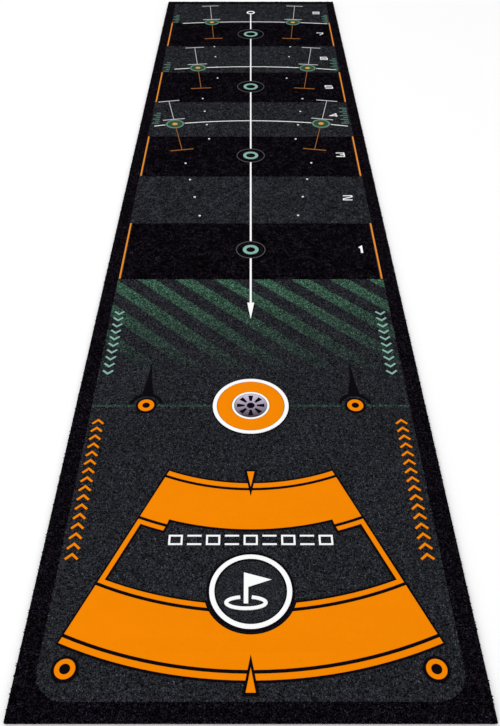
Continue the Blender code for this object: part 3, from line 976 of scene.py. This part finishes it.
def make_emblem_signs():
    """A ladder of plain frames above the badge, and a flag in its cup inside the badge."""
    cell = (2 * PANEL_HALF - (PANEL_CELLS - 1) * PANEL_CELL_GAP) / PANEL_CELLS
    low, high = (along(d) for d in PANEL_DISTANCE)
    inset = SIGN_STROKE / 2
    ladder = []
    for k in range(PANEL_CELLS):
        left = -PANEL_HALF + k * (cell + PANEL_CELL_GAP)
        right = left + cell
        if k % 2 == 0:
            corners = bar(left + inset, right - inset, low + inset, high - inset)
            ladder += stroke(corners, SIGN_STROKE, closed=True)
        else:
            ladder.append(bar(left, right, low, low + SIGN_STROKE))
            ladder.append(bar(left, right, high - SIGN_STROKE, high))
    shorn("ladder_sign", ladder, "white", top=DYED_TOP)
    flag_sign()


POLE_WIDTH = 0.0052
POLE_HEIGHT = 0.0400
PENNANT = (0.0270, 0.0190)
CUP_RADII = (0.0225, 0.0072)
CUP_STROKE = 0.0044
CUP_RISE = 0.001  # of its middle above the pole's foot
CUP_GAP = 1.3  # in widths of the pole, each side of it
CUP_STEPS = 28


def flag_sign():
    """A golf flag in its cup, in the middle of the badge."""
    badge = middle(BADGE)
    foot = badge.y + CUP_RADII[1] / 2 - POLE_HEIGHT / 2
    top = foot + POLE_HEIGHT
    left = badge.x - PENNANT[0] / 5 - POLE_WIDTH / 2
    right = left + POLE_WIDTH
    flag = [
        (left, foot), (right, foot), (right, top - PENNANT[1]),
        (right + PENNANT[0], top - PENNANT[1] / 2), (left, top),
    ]
    gap = atan2(POLE_WIDTH, CUP_RADII[0]) * CUP_GAP
    angles = [pi / 2 + gap + (2 * pi - 2 * gap) * k / CUP_STEPS for k in range(CUP_STEPS + 1)]
    middle_x, middle_y = (left + right) / 2, foot + CUP_RISE
    cup = [(middle_x + CUP_RADII[0] * cos(a), middle_y + CUP_RADII[1] * sin(a)) for a in angles]
    shorn("flag_sign", [flag] + stroke(cup, CUP_STROKE), "white", top=DYED_TOP)


# Pile panels


def panel_nodes():
    """Each pile panel's node, with its material and its slot."""
    rows = [(f"border_{word}", "border_pile", "black_pile") for word in ("near", "far", "left", "right")]
    rows.append(("target_field", "field_pile", "grey_pile"))
    for band in range(1, LANE_BANDS + 1):
        colour = "black_pile" if band % 2 else "grey_pile"
        rows.append((f"lane_band_{band}", colour, colour))
    return rows


def tuft_tree():
    """A Geometry Nodes tree: tufts on a panel's face, clear of its edges and of what is printed."""
    inputs = {"Geometry": "Geometry"}
    for name in ("Spacing", "Height", "Width", "Lean", "Edge Margin", "Print Margin", "Density"):
        inputs[name] = "Float"
    inputs.update({"Seed": "Int", "Printed": "Object", "Ground": "Object"})
    graph = Grower("cut_pile", inputs)
    given = graph.given
    points = graph.add(
        "GeometryNodeDistributePointsOnFaces",
        {
            "Mesh": given["Geometry"],
            "Distance Min": given["Spacing"],
            "Density Max": given["Density"],
            "Seed": given["Seed"],
        },
        distribute_method="POISSON",
    ).outputs["Points"]
    points = graph.add(
        "GeometryNodeDeleteGeometry",
        {"Geometry": points, "Selection": too_close(graph)},
        domain="POINT",
    ).outputs["Geometry"]
    down = graph.vector(Z=graph.math("MULTIPLY", given["Height"], -1.0))
    points = graph.add("GeometryNodeSetPosition", {"Geometry": points, "Offset": down}).outputs["Geometry"]
    shade = graph.add("FunctionNodeRandomValue", {2: 0.0, 3: 1.0, "Seed": SHADE_SEED}, data_type="FLOAT")
    points = graph.stored(points, "tuft_shade", shade.outputs[1])
    tuft = graph.add(
        "GeometryNodeMeshCone",
        {
            "Vertices": TUFT_SIDES,
            "Radius Top": 0.0,
            "Radius Bottom": graph.math("MULTIPLY", given["Width"], 0.5),
            "Depth": given["Height"],
        },
        fill_type="NGON",
    )
    lean = given["Lean"]
    back = graph.math("MULTIPLY", lean, -1.0)
    turns = {0: graph.vector(X=back, Y=back), 1: graph.vector(X=lean, Y=lean, Z=2 * pi)}
    sizes = {0: TUFT_LEAST_SIZE, 1: TUFT_GREATEST_SIZE}
    turn, size = (
        graph.add("FunctionNodeRandomValue", {**limits, "Seed": seed}, data_type="FLOAT_VECTOR").outputs[0]
        for limits, seed in ((turns, TURN_SEED), (sizes, SIZE_SEED))
    )
    tufts = graph.copies(points, tuft.outputs["Mesh"], Rotation=turn, Scale=size)
    # The ground below the tufts carries a painted shade, a darker value for the depths of the pile
    ground = graph.add("GeometryNodeObjectInfo", {"Object": given["Ground"]}).outputs["Geometry"]
    return graph.grown_tree(graph.both(tufts, graph.stored(ground, "tuft_shade", PAINTED_GROUND_SHADE)))


def too_close(graph):
    """Whether a point is nearer the panel's edge or what is printed than their margins."""
    given = graph.given
    faces_beside = graph.add("GeometryNodeInputMeshEdgeNeighbors").outputs["Face Count"]
    inner = graph.add(
        "FunctionNodeCompare", {2: faces_beside, 3: 1}, data_type="INT", operation="GREATER_THAN"
    )
    border = graph.add(
        "GeometryNodeDeleteGeometry",
        {"Geometry": given["Geometry"], "Selection": inner.outputs[0]},
        domain="EDGE",
        mode="EDGE_FACE",
    ).outputs["Geometry"]
    marks = graph.add("GeometryNodeObjectInfo", {"Object": given["Printed"]}).outputs["Geometry"]
    near = []
    for target, element, margin in ((border, "EDGES", "Edge Margin"), (marks, "FACES", "Print Margin")):
        away = graph.add("GeometryNodeProximity", {0: target}, target_element=element).outputs["Distance"]
        near.append(
            graph.add("FunctionNodeCompare", {0: away, 1: given[margin]}, operation="LESS_THAN").outputs[0]
        )
    return graph.add("FunctionNodeBooleanMath", {0: near[0], 1: near[1]}, operation="OR").outputs[0]


def face_mesh(node):
    """A CAD node's top face alone, its holes kept, as a flat mesh."""
    shape = bmesh.new()
    shape.from_mesh(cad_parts[node].data)
    bmesh.ops.remove_doubles(shape, verts=shape.verts, dist=SAME_PLACE)
    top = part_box(node)[1].z
    rest = [f for f in shape.faces if any(abs(v.co.z - top) > SAME_LEVEL for v in f.verts)]
    bmesh.ops.delete(shape, geom=rest, context="FACES")
    mesh = bpy.data.meshes.new("face")
    shape.to_mesh(mesh)
    shape.free()
    mesh.materials.clear()
    return mesh


def helper(name, mesh):
    """An object that is not a piece of the mat."""
    item = bpy.data.objects.new(name, mesh)
    bpy.context.scene.collection.objects.link(item)
    return item


def printed_mesh():
    """Everything that is printed, as flat faces at the pile's top."""
    shape = bmesh.new()
    for outline in printed:
        verts = [shape.verts.new((x, y, PILE_TOP)) for x, y in outline]
        shape.faces.new(verts)
    shape.normal_update()
    bmesh.ops.triangulate(shape, faces=shape.faces)
    mesh = bpy.data.meshes.new("printed")
    shape.to_mesh(mesh)
    shape.free()
    return mesh


def make_panels():
    """The tufted panels, and the shorn stripes beside the black bands."""
    tree = tuft_tree()
    clear = helper("printed", printed_mesh())
    pieces = []
    for seed, (node, colour, slot) in enumerate(panel_nodes(), 1):
        low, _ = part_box(node)
        ground = helper("ground", sheet_of(top_outlines(node, low.z), low.z, GROUND_TOP))
        values = {
            "Spacing": TUFT_SPACING,
            "Height": PILE_TOP - GROUND_TOP,
            "Width": TUFT_WIDTH,
            "Lean": TUFT_LEAN,
            "Edge Margin": EDGE_MARGIN,
            "Print Margin": PRINT_MARGIN,
            "Density": TUFT_DENSITY,
            "Seed": seed,
            "Printed": clear,
            "Ground": ground,
            "Material": MATERIALS[colour],
        }
        mesh = grown_by(tree, values, face_mesh(node))
        bpy.data.objects.remove(ground)
        pieces.append(place_piece(node + "_pile", mesh, (node,)))
    bpy.data.objects.remove(clear)
    for side, _ in SIDES:
        for band in range(1, LANE_BANDS, 2):
            pieces.append(mark(f"side_stripe_{side}_{band}", "amber", inset=SIDE_STRIPE_COVER))
    return pieces


# Backing and cloth

STUD_PITCH = 0.020
STUD_RADIUS = 0.0042
STUD_HEIGHT = 0.0007
STUD_TIP = 0.6  # of its radius
STUD_SIDES = 10
BACKING_ROUNDING = 0.0004
CLOTH_ROUNDING = 0.0002


def stud_tree():
    """A Geometry Nodes tree: low round grip studs in staggered rows under a sheet."""
    inputs = {"Geometry": "Geometry"}
    for name in ("Width", "Length", "Pitch", "Radius", "Height"):
        inputs[name] = "Float"
    inputs.update({"Across": "Int", "Rows": "Int"})
    graph = Grower("grip_studs", inputs)
    given = graph.given
    grid = graph.add(
        "GeometryNodeMeshGrid",
        {
            "Size X": given["Width"],
            "Size Y": given["Length"],
            "Vertices X": given["Across"],
            "Vertices Y": given["Rows"],
        },
    )
    index = graph.add("GeometryNodeInputIndex").outputs[0]
    odd = graph.math("MODULO", graph.math("MODULO", index, given["Rows"]), 2.0)
    half_pitch = graph.math("MULTIPLY", given["Pitch"], 0.5)
    shift = graph.math("MULTIPLY", graph.math("SUBTRACT", odd, 0.5), half_pitch)
    offset = graph.vector(X=shift, Z=given["Height"])
    rows = graph.add("GeometryNodeSetPosition", {"Geometry": grid.outputs["Mesh"], "Offset": offset})
    stud = graph.add(
        "GeometryNodeMeshCone",
        {
            "Vertices": STUD_SIDES,
            "Radius Top": graph.math("MULTIPLY", given["Radius"], STUD_TIP),
            "Radius Bottom": given["Radius"],
            "Depth": given["Height"],
        },
        fill_type="NGON",
    )
    studs = graph.copies(rows.outputs["Geometry"], stud.outputs["Mesh"], Rotation=(pi, 0.0, 0.0))
    return graph.grown_tree(graph.both(studs, given["Geometry"]))


def make_backing():
    low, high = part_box("rubber_backing")
    outline = [bar(low.x, high.x, low.y, high.y)]
    slab = sheet_of(outline, low.z + STUD_HEIGHT, high.z, BACKING_ROUNDING)
    width, length = high.x - low.x - 2 * STUD_PITCH, high.y - low.y - STUD_PITCH
    row_pitch = STUD_PITCH * sqrt(0.75)
    values = {
        "Width": width,
        "Length": length,
        "Pitch": STUD_PITCH,
        "Radius": STUD_RADIUS,
        "Height": STUD_HEIGHT,
        "Across": round(width / STUD_PITCH) + 1,
        "Rows": round(length / row_pitch) + 1,
        "Material": MATERIALS["rubber"],
    }
    mesh = grown_by(stud_tree(), values, slab)
    return place_piece("studded_backing", mesh, ("rubber_backing",))


def make_cloth():
    low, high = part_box("primary_cloth")
    mesh = sheet_of([bar(low.x, high.x, low.y, high.y)], low.z, high.z, CLOTH_ROUNDING)
    mesh.materials.append(MATERIALS["weave"])
    return place_piece("primary_weave_cloth", mesh, ("primary_cloth",))


# Camera, floor and light

CAMERA_BACK = 0.3255  # behind the near end
CAMERA_HEIGHT = 0.7970  # above the pile
CAMERA_PITCH = radians(42.9)  # below the horizon
CAMERA_SHIFT = -0.0010
LENS = 38.38
SENSOR_WIDTH = 36.0
FLOOR_SIZE = 12.0
FLOOR_GAP = 0.0002
FLOOR_COLOUR = (0.99, 0.99, 0.99, 1.0)
SKY_STRENGTH = 0.90
SOFTBOX_SIZE = (3.0, 4.0)
SOFTBOX_POWER = 22.5
SOFTBOX_PLACE = Vector((-1.6, -0.6, 2.8))
SOFTBOX_TARGET = Vector((0.0, 0.2, 0.0))


def make_camera():
    data = bpy.data.cameras.new("camera")
    data.lens = LENS
    data.shift_x = CAMERA_SHIFT
    data.sensor_width = SENSOR_WIDTH
    camera = bpy.data.objects.new("camera", data)
    camera.location = (0.0, NEAR_END - CAMERA_BACK, PILE_TOP + CAMERA_HEIGHT)
    camera.rotation_euler = (pi / 2 - CAMERA_PITCH, 0.0, 0.0)
    bpy.context.scene.collection.objects.link(camera)
    bpy.context.scene.camera = camera


def make_floor():
    mesh = bpy.data.meshes.new("floor")
    shape = bmesh.new()
    bmesh.ops.create_grid(shape, x_segments=1, y_segments=1, size=FLOOR_SIZE / 2)
    bmesh.ops.translate(shape, verts=shape.verts, vec=(0, 0, CAD_LOW.z - FLOOR_GAP))
    shape.to_mesh(mesh)
    shape.free()
    surface = Surface("pale_floor")
    mesh.materials.append(surface.finish(Base_Color=FLOOR_COLOUR, Roughness=0.9))
    floor = helper("floor", mesh)


def make_light():
    scene = bpy.context.scene
    scene.view_settings.view_transform = "Standard"
    scene.world = scene.world or bpy.data.worlds.new("world")
    scene.world.use_nodes = True
    background = scene.world.node_tree.nodes["Background"]
    background.inputs["Color"].default_value = (1.0, 1.0, 1.0, 1.0)
    background.inputs["Strength"].default_value = SKY_STRENGTH
    data = bpy.data.lights.new("softbox", "AREA")
    data.shape = "RECTANGLE"
    data.size, data.size_y = SOFTBOX_SIZE
    data.energy = SOFTBOX_POWER
    softbox = bpy.data.objects.new("softbox", data)
    softbox.location = SOFTBOX_PLACE
    softbox.rotation_euler = (SOFTBOX_TARGET - SOFTBOX_PLACE).to_track_quat("-Z", "Y").to_euler()
    scene.collection.objects.link(softbox)


make_camera()
make_floor()
make_light()
backing = make_backing()
cloth = make_cloth()
make_emblem()
make_hole_mark()
make_side_targets()
make_centre_line()
make_ball_marks()
make_aim_dots()
make_numerals()
make_zone_signs()
make_emblem_signs()
panels = make_panels()
